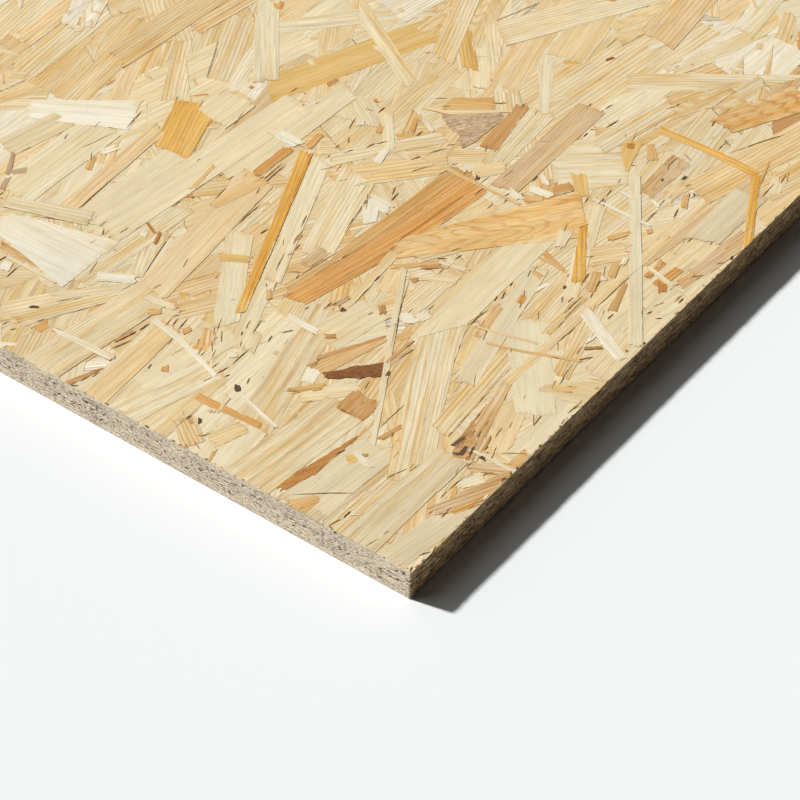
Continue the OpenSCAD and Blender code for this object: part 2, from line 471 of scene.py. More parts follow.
def linear(hex_colour):
    """An sRGB hex colour as linear red, green, blue and alpha."""
    parts = [int(hex_colour[i:i + 2], 16) / 255 for i in (1, 3, 5)]
    return [c / 12.92 if c <= 0.04045 else ((c + 0.055) / 1.055) ** 2.4 for c in parts] + [1.0]


# Kinds of nodes that the trees below use most
MATH = "ShaderNodeMath"
VECTOR_MATH = "ShaderNodeVectorMath"
RANGE = "ShaderNodeMapRange"
MIX = "ShaderNodeMix"
PARTS = "ShaderNodeSeparateXYZ"
WHOLE = "ShaderNodeCombineXYZ"
MARKED = "ShaderNodeAttribute"
READ = "GeometryNodeInputNamedAttribute"
STORE = "GeometryNodeStoreNamedAttribute"
# Sockets of a colour mix: the share of the second colour, the first colour and the second
SHARE, FIRST, SECOND = 0, 6, 7


def add(tree, kind, inputs=(), **settings):
    """Adds a node with its settings. Its inputs come in socket order or in a dict, and each is a value or
    something to link from: an output socket, or a node for the first of its outputs that is in use."""
    made = tree.nodes.new(kind)
    for name, value in settings.items():
        setattr(made, name, value)
    for key, value in inputs.items() if isinstance(inputs, dict) else enumerate(inputs):
        socket = made.inputs[key]
        if isinstance(value, bpy.types.Node):
            value = next(output for output in value.outputs if output.enabled)
        if isinstance(value, bpy.types.NodeSocket):
            tree.links.new(value, socket)
        else:
            socket.default_value = value
    return made


def streaks(tree, place, long_mm, wide_mm, detail, start):
    """Noise with features of a size in millimetres, drawn out along the grain; start moves to another
    stretch of the noise, and so does the third coordinate, a strand's own seed."""
    apart = 3.7
    scale = (1 / (long_mm * MM), 1 / (wide_mm * MM), apart)
    scaled = add(tree, VECTOR_MATH, [place, scale, (start, start, start)], operation="MULTIPLY_ADD")
    noise = {"Vector": scaled, "Scale": 1.0, "Detail": detail, "Roughness": 0.6}
    return add(tree, "ShaderNodeTexNoise", noise)


# Strand layout


def within_laid_area(x, y, margin):
    """True where a point, in mm from the corner in view, is in the area of the listed strands or a margin
    round it.
    """
    inside = True
    for (x0, y0), (x1, y1) in zip(LAID_AREA, LAID_AREA[1:] + LAID_AREA[:1]):
        turn = (x1 - x0) * (y - y0) - (y1 - y0) * (x - x0)
        inside = inside and turn >= -margin * math.hypot(x1 - x0, y1 - y0)
    return inside


def first_form(kind):
    """The number of the first blank of a kind, counted through all the kinds."""
    kinds = list(BLANKS)
    return sum(BLANKS[k][0] for k in kinds[:kinds.index(kind)])


def draw(rng, chances):
    """One key of a table of chances."""
    weights = np.array(list(chances.values()), float)
    return list(chances)[rng.choice(len(weights), p=weights / weights.sum())]


def strand(rng, kind, tone, figure, x, y, heading, span, start, end, bow, drop):
    """One strand in millimetres from the corner in view, with its rings varied a little."""
    pitch, contrast, wave = FIGURES["rough" if tone == "bark" else figure]
    return {
        "x": x,
        "y": y,
        "drop": drop,
        "heading": heading,
        "span": span,
        "start": start,
        "end": end,
        "bow": bow,
        "form": first_form(kind) + rng.integers(BLANKS[kind][0]),
        "tone": tone,
        "pitch": pitch * rng.uniform(0.8, 1.25),
        "contrast": contrast * rng.uniform(0.7, 1.15),
        "wave": wave,
    }


def middle_line(x0, y0, x1, y1):
    """The middle, the heading and the length of the line between two ends."""
    return (x0 + x1) / 2, (y0 + y1) / 2, math.atan2(y1 - y0, x1 - x0), math.hypot(x1 - x0, y1 - y0)


def laid_strands(rng):
    """The listed strands; of two with the same lift, the later lies above."""
    rows = []
    for number, (tone, figure, x0, y0, x1, y1, start, end, lift, *bow) in enumerate(LAID_STRANDS):
        x, y, heading, span = middle_line(x0, y0, x1, y1)
        width = max(start, end)
        kind = "face_flake" if width > SPLINTER_WIDTH else "splinter"
        if span < SHRED_LENGTH and width > SLIVER_WIDTH:
            kind = "shred"
        # Bark, and pieces about as wide as they are long, are ragged all round
        if tone == "bark" or width > 0.9 * span:
            kind = "bark"
        drop = LIFTS[lift] - number * LAID_STEP
        rows.append(strand(rng, kind, tone, figure, x, y, heading, span, start, end, sum(bow), drop))
    return rows


def torn_bits(rng, laid):
    """The listed small bits, and short cracks where the ends of the larger strands tore."""
    marks = [(tone, *mark) for tone, listed in BITS.items() for mark in listed]
    for row in laid:
        for end, width in ((-0.5, row["start"]), (0.5, row["end"])):
            for _ in range(rng.integers(0, 3) if width > CRACKED_WIDTH else 0):
                turn = row["heading"]
                along = end * row["span"] + rng.normal(0, 2.5)
                across = rng.uniform(-0.5, 0.5) * width
                x = row["x"] + along * math.cos(turn) - across * math.sin(turn)
                y = row["y"] + along * math.sin(turn) + across * math.cos(turn)
                turn += rng.normal(0, 0.15)
                reach = rng.uniform(1.5, 5)
                step_x, step_y = reach * math.cos(turn), reach * math.sin(turn)
                # Each crack is a dark sliver of painted shade
                tone = draw(rng, CRACK_CHANCES)
                marks.append((tone, x - step_x, y - step_y, x + step_x, y + step_y, rng.uniform(0.4, 0.9)))
    rows = []
    for tone, *ends, width in marks:
        x, y, heading, span = middle_line(*ends)
        kind = "crack" if width < CRACK_WIDTH else "shred"
        if kind == "crack":
            width *= CRACK_SHARE
        drop = rng.uniform(*BIT_DEPTHS)
        end = width * rng.uniform(0.7, 1.0)
        rows.append(strand(rng, kind, tone, "plain", x, y, heading, span, width, end, 0.01 * span, drop))
    return rows


def scattered_strands(rng, kind, count, lengths, widths, depths, spread, spare_laid_area):
    """Seeded random strands all over a face, laid mostly along its length."""
    size_x, size_y = PANEL_SIZE.x / MM, PANEL_SIZE.y / MM
    across_cells = round(math.sqrt(count * size_y / size_x))
    along_cells = math.ceil(count / across_cells)
    rows = []
    for number in range(along_cells * across_cells):
        along, across = divmod(number, across_cells)
        x = (along + rng.uniform(-0.2, 1.2)) / along_cells * size_x
        y = (across + rng.uniform(-0.2, 1.2)) / across_cells * size_y
        low = spare_laid_area and within_laid_area(x, y, LAID_MARGIN)
        quiet = low and within_laid_area(x, y, 0)
        tone = draw(rng, QUIET_CHANCES if quiet else CHIP_CHANCES if kind == "chip" else TONE_CHANCES)
        figure = draw(rng, FIGURE_CHANCES)
        # One in four lies twice as far askew
        heading = rng.normal(0, math.radians(spread * rng.choice([1, 1, 1, 2])))
        span, width, drop = rng.uniform(*lengths), rng.uniform(*widths), rng.uniform(*depths)
        # Dark strands are small
        if tone in ("rust", "bark", "knot"):
            span *= 0.5
            width *= 0.5
        # Under the listed strands, the others stay at the bottom
        if low:
            drop = rng.uniform(*BED_DEPTHS) - (CHIP_LIFT if kind == "chip" else 0)
        bow = rng.normal(0, 0.004 * span)
        end = width * rng.uniform(0.75, 1.2)
        rows.append(strand(rng, kind, tone, figure, x, y, heading, span, width, end, bow, drop))
    return rows


def edge_chips(rng):
    """Small torn bits along the sawn edges of a face: dark ones are painted shade in notches where wood broke
    out, pale ones are where fibres stand.
    """
    size_x, size_y = PANEL_SIZE.x / MM, PANEL_SIZE.y / MM
    rows = []
    for length, turn, off in ((size_x, 0, 0), (size_x, 0, size_y), (size_y, 90, 0), (size_y, 90, size_x)):
        for number in range(int(length / EDGE_CHIP_SPACING)):
            run = (number + rng.uniform(0, 1)) * EDGE_CHIP_SPACING
            back = abs(off - abs(rng.normal(0, EDGE_CHIP_BACK)))
            x, y = (back, run) if turn else (run, back)
            heading = math.radians(turn + rng.normal(0, 35))
            span, width = rng.uniform(*EDGE_CHIP_LENGTHS), rng.uniform(*EDGE_CHIP_WIDTHS)
            # The dark tones here are painted shade in notches
            tone = draw(rng, EDGE_CHANCES)
            drop = rng.uniform(*EDGE_CHIP_DEPTHS)
            rows.append(strand(rng, "chip", tone, "plain", x, y, heading, span, width, width * 0.8, 0, drop))
    return rows


# Strand blanks


def half_outline(rng, steps, tear, share, waves, wander, slant, blunt):
    """One side of a blank and the torn end that follows it, in unit length and width. Each corner also has
    what stays the same in blanks of any size: how far it is torn back and aside in metres, and its slant."""
    # The cracks between the steps of a torn end are twice this wide, as a share of the width
    notch = 0.01
    corners = []
    for along in np.sort(rng.uniform(-0.25, 0.25, waves)):
        corners.append((along, -rng.uniform(0.47, 0.5), 0.0, rng.uniform(-wander, wander) * MM, 0.0))
    splits = np.concatenate([[-0.5], np.sort(rng.uniform(-0.42, 0.42, steps - 1)), [0.5]])
    leaning = rng.uniform(-slant, slant)
    for low, high in zip(splits, splits[1:]):
        short = rng.uniform(0, 1)
        for across, change in ((low + notch, 0.0), (high - notch, rng.uniform(-0.3, 0.3))):
            back = max(short + change, 0.0)
            corners.append((0.5 - back * share, across * blunt, -back * tear * MM, 0.0, leaning))
    return corners


def strand_blank(rng, name, *half, solid):
    """A closed flake one unit thick; solid, it is as wide below as above, or else it runs to a point
    there. Its top comes last, so that in a flat map of many strands the top covers what is below."""
    outline = half_outline(rng, *half)
    for along, across, back, aside, leaning in half_outline(rng, *half):
        outline.append((-along, -across, -back, -aside, leaning))
    count = len(outline)
    verts = [(along, across, 0.0) for along, across, *_ in outline]
    torn = [corner[2:] for corner in outline]
    pairs = [(i, (i + 1) % count) for i in range(count)]
    if solid:
        verts += [(along, across, -1.0) for along, across, *_ in outline]
        torn += torn
        faces = [[count + i for i in reversed(range(count))]]
        faces += [[j, i, count + i, count + j] for i, j in pairs]
    else:
        verts.append((0.0, 0.0, -1.0))
        torn.append((0.0, 0.0, 0.0))
        faces = [[j, i, count] for i, j in pairs]
    faces.append(list(range(count)))
    made = bpy.data.meshes.new(name)
    made.from_pydata(verts, [], faces)
    made.attributes.new("torn", "FLOAT_VECTOR", "POINT").data.foreach_set("vector", np.ravel(torn))
    return bpy.data.objects.new(name, made)


def strand_blanks():
    """All the blanks, named so that their order by name is the order of their numbers."""
    rng = np.random.default_rng(SEED)
    blanks = bpy.data.collections.new("strand_blanks")
    for kind, (count, *half, solid) in BLANKS.items():
        for number in range(count):
            name = f"blank_{first_form(kind) + number:02d}_{kind}"
            blanks.objects.link(strand_blank(rng, name, *half, solid=solid))
    return blanks


# Strand tree


def strand_tree(blanks, material):
    """Geometry nodes that turn each point into the flake that its attributes describe."""
    tree = bpy.data.node_groups.new("lay_strands", "GeometryNodeTree")
    tree.interface.new_socket("Points", in_out="INPUT", socket_type="NodeSocketGeometry")
    tree.interface.new_socket("Strand thickness", in_out="INPUT", socket_type="NodeSocketFloat")
    tree.interface.new_socket("Strands", in_out="OUTPUT", socket_type="NodeSocketGeometry")
    given = add(tree, "NodeGroupInput").outputs
    place = add(tree, "GeometryNodeInputPosition")
    stored = {"Geometry": given["Points"], "Name": "centre", "Value": place}
    points = add(tree, STORE, stored, data_type="FLOAT_VECTOR", domain="POINT")
    choice = {"Collection": blanks, "Separate Children": True, "Reset Children": True}
    shapes = add(tree, "GeometryNodeCollectionInfo", choice)
    form = add(tree, READ, {"Name": "form"}, data_type="INT")
    laying = {"Points": points, "Instance": shapes, "Pick Instance": True, "Instance Index": form}
    laid = add(tree, "GeometryNodeInstanceOnPoints", laying)
    flakes = add(tree, "GeometryNodeRealizeInstances", [laid])

    # The blank's own coordinates, from -0.5 to 0.5 along and across, and from 0 down to -1
    centre = add(tree, READ, {"Name": "centre"}, data_type="FLOAT_VECTOR")
    local = add(tree, VECTOR_MATH, [place, centre], operation="SUBTRACT")
    unit_along, unit_across, unit_up = add(tree, PARTS, [local]).outputs
    shape = add(tree, READ, {"Name": "widths"}, data_type="FLOAT_VECTOR")
    start_width, end_width, bow = add(tree, PARTS, [shape]).outputs
    tilt = add(tree, READ, {"Name": "lean"}, data_type="FLOAT_VECTOR")
    tilt_along, tilt_across, _ = add(tree, PARTS, [tilt]).outputs
    torn = add(tree, READ, {"Name": "torn"}, data_type="FLOAT_VECTOR")
    torn_back, torn_aside, slant = add(tree, PARTS, [torn]).outputs
    span = add(tree, READ, {"Name": "span"}, data_type="FLOAT")

    # Its real size, with the ends torn and slanted, and the sides bowed
    width = add(tree, RANGE, [unit_along, -0.5, 0.5, start_width, end_width], clamp=False)
    across = add(tree, MATH, [unit_across, width, torn_aside], operation="MULTIPLY_ADD")
    straight = add(tree, MATH, [unit_along, span, torn_back], operation="MULTIPLY_ADD")
    third = add(tree, MATH, [span, 3.0], operation="DIVIDE")
    slanted = add(tree, MATH, [width, third], operation="MINIMUM")
    offset = add(tree, MATH, [slant, slanted], operation="MULTIPLY")
    along = add(tree, MATH, [unit_across, offset, straight], operation="MULTIPLY_ADD")
    square = add(tree, MATH, [unit_along, unit_along], operation="MULTIPLY")
    arch = add(tree, MATH, [square, -4.0, 1.0], operation="MULTIPLY_ADD")
    bowed = add(tree, MATH, [arch, bow, across], operation="MULTIPLY_ADD")
    level = add(tree, MATH, [unit_up, given["Strand thickness"]], operation="MULTIPLY")
    tipped = add(tree, MATH, [unit_along, tilt_along, level], operation="MULTIPLY_ADD")
    height = add(tree, MATH, [unit_across, tilt_across, tipped], operation="MULTIPLY_ADD")
    flat = add(tree, WHOLE, [along, bowed, height])
    heading = add(tree, READ, {"Name": "heading"}, data_type="FLOAT")
    turn = {"Vector": flat, "Angle": heading}
    turned = add(tree, "ShaderNodeVectorRotate", turn, rotation_type="Z_AXIS")
    moved = add(tree, VECTOR_MATH, [turned, centre], operation="ADD")

    # What the material reads: the place on the flake, and how far its ends and sides are from its middle
    seed = add(tree, READ, {"Name": "seed"}, data_type="FLOAT")
    grain = {"Geometry": flakes, "Name": "grain", "Value": add(tree, WHOLE, [along, across, seed])}
    marked = add(tree, STORE, grain, data_type="FLOAT_VECTOR", domain="POINT")
    half_span = add(tree, MATH, [span, 0.5], operation="MULTIPLY")
    half_width = add(tree, MATH, [width, 0.5], operation="MULTIPLY")
    reach = {"Geometry": marked, "Name": "reach", "Value": add(tree, WHOLE, [half_span, half_width])}
    marked = add(tree, STORE, reach, data_type="FLOAT_VECTOR", domain="POINT")
    shaped = add(tree, "GeometryNodeSetPosition", {"Geometry": marked, "Position": moved})
    finished = add(tree, "GeometryNodeSetMaterial", {"Geometry": shaped, "Material": material})
    add(tree, "NodeGroupOutput", {"Strands": finished})
    return tree


def strand_points(name, rows, rng):
    """A mesh of loose points, one for each strand, with what the strand tree reads."""
    count = len(rows)
    column = {key: np.array([r[key] for r in rows]) for key in rows[0]}
    x = column["x"] * MM + PANEL_LOW.x
    y = column["y"] * MM + PANEL_LOW.y
    z = PANEL_HIGH.z - column["drop"] * MM
    made = bpy.data.meshes.new(name)
    made.from_pydata(np.stack([x, y, z], -1).tolist(), [], [])
    shade = rng.uniform(*SHADES, (count, 1)) * (1, 1, 1, 0) + (0, 0, 0, 1)
    wood = np.array([linear(TONES[tone]) for tone in column["tone"]]) * shade
    widths = np.stack([column["start"], column["end"], column["bow"]], -1) * MM
    figure = np.stack([column["pitch"] * MM, column["contrast"], column["wave"]], -1)
    attributes = {
        "heading": ("FLOAT", "value", column["heading"]),
        "span": ("FLOAT", "value", column["span"] * MM),
        "widths": ("FLOAT_VECTOR", "vector", widths),
        "lean": ("FLOAT_VECTOR", "vector", rng.uniform(-LEAN, LEAN, (count, 3))),
        "form": ("INT", "value", column["form"]),
        "seed": ("FLOAT", "value", rng.uniform(0, 50, count)),
        "wood": ("FLOAT_COLOR", "color", wood),
        "figure": ("FLOAT_VECTOR", "vector", figure),
    }
    for key, (kind, field, values) in attributes.items():
        made.attributes.new(key, kind, "POINT").data.foreach_set(field, values.ravel())
    return bpy.data.objects.new(name, made)


def plain_mesh(holder):
    """The evaluated mesh of an object whose modifiers make its shape; the holder is removed."""
    bpy.context.scene.collection.objects.link(holder)
    graph = bpy.context.evaluated_depsgraph_get()
    made = bpy.data.meshes.new_from_object(holder.evaluated_get(graph), depsgraph=graph)
    holder.modifiers.clear()
    bpy.data.objects.remove(holder)
    return made


def saw_planes():
    """Planes that cut the face strands by the sawn sides and blunted corners: points, outward normals."""
    inset = Vector((TORN_BACK, TORN_BACK, 0))
    low, high = PANEL_LOW + inset, PANEL_HIGH - inset
    planes = [(low, (-1, 0, 0)), (low, (0, -1, 0)), (high, (1, 0, 0)), (high, (0, 1, 0))]
    radius = CORNER_RADIUS - TORN_BACK
    for side_x, corner_x in ((-1, low.x), (1, high.x)):
        for side_y, corner_y in ((-1, low.y), (1, high.y)):
            middle = Vector((corner_x - side_x * radius, corner_y - side_y * radius, 0))
            for turn in (22.5, 45, 67.5):
                angle = math.radians(turn)
                normal = Vector((side_x * math.cos(angle), side_y * math.sin(angle), 0))
                planes.append((middle + normal * radius, normal))
    return planes


def saw_to_size(made):
    """Cuts a mesh of flakes off by the panel's sides and closes the cuts."""
    work = bmesh.new()
    work.from_mesh(made)
    for point, normal in saw_planes():
        cut = bmesh.ops.bisect_plane(
            work, geom=work.verts[:] + work.edges[:] + work.faces[:], dist=1e-7,
            plane_co=point, plane_no=normal, clear_outer=True)
        edges = [e for e in cut["geom_cut"] if isinstance(e, bmesh.types.BMEdge) and e.is_boundary]
        if edges:
            bmesh.ops.edgeloop_fill(work, edges=edges)
    work.to_mesh(made)
    work.free()


def numbers(collection, field, size):
    """A field of all the items in a collection, as rows of numbers."""
    found = np.empty(len(collection) * size, np.float32)
    collection.foreach_get(field, found)
    return found.reshape(-1, size)


def flat_map(made, band_low, band_width):
    """A map of a band of strands as seen from above, in three runs beside each other so that it is nearly
    square; each strand keeps to the run that its centre is in."""
    runs, margin = 3, 80 * MM
    place = numbers(made.vertices, "co", 3)
    centre = numbers(made.attributes["centre"].data, "vector", 3)
    run_length = PANEL_SIZE.x / runs
    run = np.clip((centre[:, 0] - PANEL_LOW.x) // run_length, 0, runs - 1)
    along = place[:, 0] - PANEL_LOW.x - run * run_length + margin
    across = place[:, 1] - band_low + margin + run * (band_width + 2 * margin)
    spots = np.stack([along / (run_length + 2 * margin), across / (band_width + 2 * margin) / runs], -1)
    corners = np.empty(len(made.loops), np.int32)
    made.loops.foreach_get("vertex_index", corners)
    made.uv_layers.new(name="OFBake").data.foreach_set("uv", spots.clip(0, 1)[corners].ravel())


def face_strands(name, rows, tree, rng, band_low, band_width, turned_over):
    """One mesh of strands, sawn to the panel's outline, on the upper or the under face."""
    holder = strand_points(name + "_points", rows, rng)
    lay = holder.modifiers.new("lay strands", "NODES")
    lay.node_group = tree
    for item in tree.interface.items_tree:
        if item.name == "Strand thickness":
            lay[item.identifier] = STRAND_THICKNESS
    made = plain_mesh(holder)
    saw_to_size(made)
    flat_map(made, band_low, band_width)
    for used_up in ("centre", "heading", "span", "widths", "lean", "form", "seed", "torn"):
        made.attributes.remove(made.attributes[used_up])
    if turned_over:
        over = Matrix.Translation((0, 0, PANEL_LOW.z + PANEL_HIGH.z)) @ Matrix.Rotation(math.pi, 4, "X")
        made.transform(over)
    made.name = name
    piece = bpy.data.objects.new(name, made)
    bpy.context.scene.collection.objects.link(piece)
    return piece


# Materials


def growth_rings(tree, grain, figure, chance):
    """How strongly late wood shows: lines along the flake, a little askew, that drift and fade as they go.
    On wavy flakes they close into arches, as where a board is sawn flat."""
    arch_climb = 0.28
    arch_curve = 0.02 / MM
    along, across, seed = add(tree, PARTS, [grain]).outputs
    pitch, contrast, wave = add(tree, PARTS, [figure]).outputs
    askew = add(tree, RANGE, [chance, 0, 1, -0.05, 0.05])
    aslant = add(tree, MATH, [along, askew, across], operation="MULTIPLY_ADD")
    bulge = add(tree, MATH, [across, across], operation="MULTIPLY")
    climb = add(tree, MATH, [along, arch_climb], operation="MULTIPLY")
    arched = add(tree, MATH, [bulge, arch_curve, climb], operation="MULTIPLY_ADD")
    course = add(tree, RANGE, [wave, 1.0, 2.4, aslant, arched])
    straight = add(tree, MATH, [course, pitch], operation="DIVIDE")
    drift = add(tree, MATH, [streaks(tree, grain, 70, 12, 2, 0.0), 0.5], operation="SUBTRACT")
    waviness = add(tree, MATH, [wave, 2.5], operation="MULTIPLY")
    rings = add(tree, MATH, [drift, waviness, straight], operation="MULTIPLY_ADD")
    # Across a ring, the pale early wood darkens into late wood and then breaks off
    across_ring = add(tree, MATH, [rings], operation="FRACT")
    late = add(tree, "ShaderNodeValToRGB", [across_ring])
    stops = late.color_ramp.elements
    stops[0].color = (0.2, 0.2, 0.2, 1)
    stops[1].color = (0.25, 0.25, 0.25, 1)
    for position, level in ((0.05, 0.0), (0.6, 0.05), (0.77, 0.9), (0.88, 1.0)):
        stops.new(position).color = (level, level, level, 1)
    # Each ring has a strength of its own, most even on striped flakes
    number = add(tree, MATH, [rings], operation="FLOOR")
    which = add(tree, MATH, [number, seed], operation="ADD")
    each = add(tree, "ShaderNodeTexWhiteNoise", {"W": which}, noise_dimensions="1D")
    least = add(tree, RANGE, [wave, 0.2, 0.6, 0.85, 0.45])
    uneven = add(tree, RANGE, [each, 0, 1, least, 1.0])
    lasting = add(tree, RANGE, [streaks(tree, grain, 35, 4, 2, 41.0), 0.35, 0.6, least, 1.0])
    shown = add(tree, MATH, [uneven, lasting], operation="MULTIPLY")
    strength = add(tree, MATH, [shown, contrast], operation="MULTIPLY")
    return add(tree, MATH, [late, strength], operation="MULTIPLY", use_clamp=True)


def torn_rim(tree, grain, reach):
    """How much the torn ends, dark splits and pale loose fibres show along the rim of a flake; the splits are
    also painted shadow lines, and the fibres painted highlights.
    """
    along, across, _ = add(tree, PARTS, [grain]).outputs
    half_span, half_width, _ = add(tree, PARTS, [reach]).outputs
    off_middle = add(tree, MATH, [along], operation="ABSOLUTE")
    to_end = add(tree, MATH, [half_span, off_middle], operation="SUBTRACT")
    frayed = add(tree, RANGE, [streaks(tree, grain, 9, 1.2, 3, 61.0), 0.3, 0.7, 0.0, 7 * MM])
    torn = add(tree, MATH, [frayed, to_end], operation="SUBTRACT")
    shares = [add(tree, RANGE, [torn, 0.0, 4 * MM, 0.0, 0.6])]
    # Dark splits, partly painted shadow lines, and pale fibres, partly painted highlights, come and go along
    # the sides: how long their stretches are in mm, where in the noise they start, where they are widest, how
    # far they stay out of the flake in mm, and how much they show
    aside = add(tree, MATH, [across], operation="ABSOLUTE")
    to_side = add(tree, MATH, [half_width, aside], operation="SUBTRACT")
    for long_mm, start, widest, out, most in ((11, 71.0, 0.7, 0.35, 0.9), (16, 191.0, 0.66, 0.3, 0.6)):
        stretches = streaks(tree, grain, long_mm, 14, 3, start)
        width = add(tree, RANGE, [stretches, 0.5, widest, -out * MM, 0.8 * MM])
        inside = add(tree, MATH, [width, to_side], operation="SUBTRACT")
        shares.append(add(tree, RANGE, [inside, 0.0, 0.3 * MM, 0.0, most]))
    return shares


def pressed_strand():
    """Softwood flakes, cut along the grain and hot-pressed with clear resin: matt, with growth rings drawn
    out into golden lines along each flake, fine fibres, torn ends a shade darker, and thin dark splits or
    pale torn fibres along some stretches of the sides. The dark splits are also painted shadow lines where
    strand edges stand proud, and the pale fibres painted highlights on raised rims. Fibres and splits are
    drawn coarser than life so that they show."""
    made = bpy.data.materials.new("pressed_softwood_strand")
    made.use_nodes = True
    tree = made.node_tree
    tree.nodes.clear()
    wood = add(tree, MARKED, attribute_name="wood").outputs["Color"]
    grain = add(tree, MARKED, attribute_name="grain").outputs["Vector"]
    reach = add(tree, MARKED, attribute_name="reach").outputs["Vector"]
    figure = add(tree, MARKED, attribute_name="figure").outputs["Vector"]
    _, across, seed = add(tree, PARTS, [grain]).outputs
    _, half_width, _ = add(tree, PARTS, [reach]).outputs
    _, contrast, wave = add(tree, PARTS, [figure]).outputs
    chance = add(tree, "ShaderNodeTexWhiteNoise", {"W": seed}, noise_dimensions="1D")

    # Pale flakes have paler streaks and fade towards one side
    side = add(tree, MATH, [across, half_width], operation="DIVIDE")
    lopsided = add(tree, RANGE, [chance, 0, 1, -0.13, 0.13])
    streak = streaks(tree, grain, 90, 5, 2, 131.0)
    fading = add(tree, MATH, [side, lopsided, streak], operation="MULTIPLY_ADD")
    fade = add(tree, RANGE, [fading, 0.46, 0.74, 0.0, 0.65])
    pale = add(tree, RANGE, [add(tree, PARTS, [wood]).outputs[2], 0.08, 0.35, 0.05, 1.0])
    paler = add(tree, MATH, [fade, pale], operation="MULTIPLY")
    colour = add(tree, MIX, {SHARE: paler, FIRST: wood, SECOND: linear("#EFE0BC")}, data_type="RGBA")

    # Warmer zones as strong as the rings, short dark fibres, specks, and checks: thin cracks along the grain
    late_wood = growth_rings(tree, grain, figure, chance)
    zone = add(tree, RANGE, [streaks(tree, grain, 70, 6, 2, 23.0), 0.44, 0.68, 0.0, 1.0])
    warm = add(tree, MATH, [zone, contrast], operation="MULTIPLY", use_clamp=True)
    busy = add(tree, RANGE, [contrast, 0.1, 0.6, 0.25, 1.0])
    short = add(tree, RANGE, [streaks(tree, grain, 11, 0.55, 2, 57.0), 0.58, 0.7, 0.0, 0.7])
    shorts = add(tree, MATH, [short, busy], operation="MULTIPLY")
    specks = add(tree, RANGE, [streaks(tree, grain, 3.2, 0.8, 2, 83.0), 0.71, 0.77, 0.0, 0.75])
    check = add(tree, RANGE, [streaks(tree, grain, 13, 0.5, 1, 149.0), 0.72, 0.78, 0.0, 0.85])
    checks = add(tree, MATH, [check, busy], operation="MULTIPLY")
    torn, split, fibres_and_highlight = torn_rim(tree, grain, reach)
    tints = (
        (late_wood, "#E1C29E"),
        (warm, "#F2DDAD"),
        (shorts, "#E7CEAA"),
        (specks, "#B3997C"),
        (checks, "#BC9B76"),
        (torn, "#EFDAB8"),
        # Painted shadow lines along strand edges, as well as real splits
        (split, "#B8956C"),
    )
    for share, tint in tints:
        stained = {SHARE: share, FIRST: colour, SECOND: linear(tint)}
        colour = add(tree, MIX, stained, data_type="RGBA", blend_type="MULTIPLY")
    # Painted highlights on raised rims, as well as pale loose fibres
    colour = add(tree, MIX, {SHARE: fibres_and_highlight, FIRST: colour, SECOND: linear("#F4E8CA")}, data_type="RGBA")

    # Lightness: a shade darker on sawn ends, streaked by fibres, a little cloudy, and mottled on rough grain
    normal = add(tree, "ShaderNodeTexCoord").outputs["Normal"]
    upright = add(tree, MATH, [add(tree, PARTS, [normal]).outputs[2]], operation="ABSOLUTE")
    sawn = add(tree, RANGE, [upright, 0.3, 0.8, 0.72, 1.0])
    fibre = streaks(tree, grain, 20, 0.6, 3, 11.0)
    fibrous = add(tree, RANGE, [contrast, 0.1, 0.7, 0.11, 0.21])
    even = add(tree, RANGE, [fibre, 0.25, 0.75, -1.0, 1.0])
    streaky = add(tree, MATH, [even, fibrous, 0.985], operation="MULTIPLY_ADD")
    cloudy = add(tree, RANGE, [streaks(tree, grain, 45, 9, 2, 163.0), 0.25, 0.75, 0.93, 1.07])
    patchy = add(tree, RANGE, [streaks(tree, grain, 3, 1.2, 3, 97.0), 0.3, 0.7, -1.0, 1.0])
    unruly = add(tree, RANGE, [wave, 2.4, 4.0, 0.0, 0.4])
    mottled = add(tree, MATH, [patchy, unruly, 1.0], operation="MULTIPLY_ADD")
    for level in (sawn, streaky, cloudy, mottled):
        colour = add(tree, VECTOR_MATH, {0: colour, "Scale": level}, operation="SCALE")

    ridges = add(tree, MATH, [late_wood, 0.5, fibre], operation="MULTIPLY_ADD")
    relief = add(tree, MATH, [split, -1.5, ridges], operation="MULTIPLY_ADD")
    bump = add(tree, "ShaderNodeBump", {"Strength": 0.4, "Distance": 0.12 * MM, "Height": relief})
    finish = {
        "Base Color": colour,
        "Roughness": add(tree, RANGE, [fibre, 0.2, 0.8, 0.55, 0.7]),
        "Normal": bump,
        "Specular IOR Level": 0.25,
        "IOR": 1.5,
    }
    add(tree, "ShaderNodeOutputMaterial", [add(tree, "ShaderNodeBsdfPrincipled", finish)])
    return made


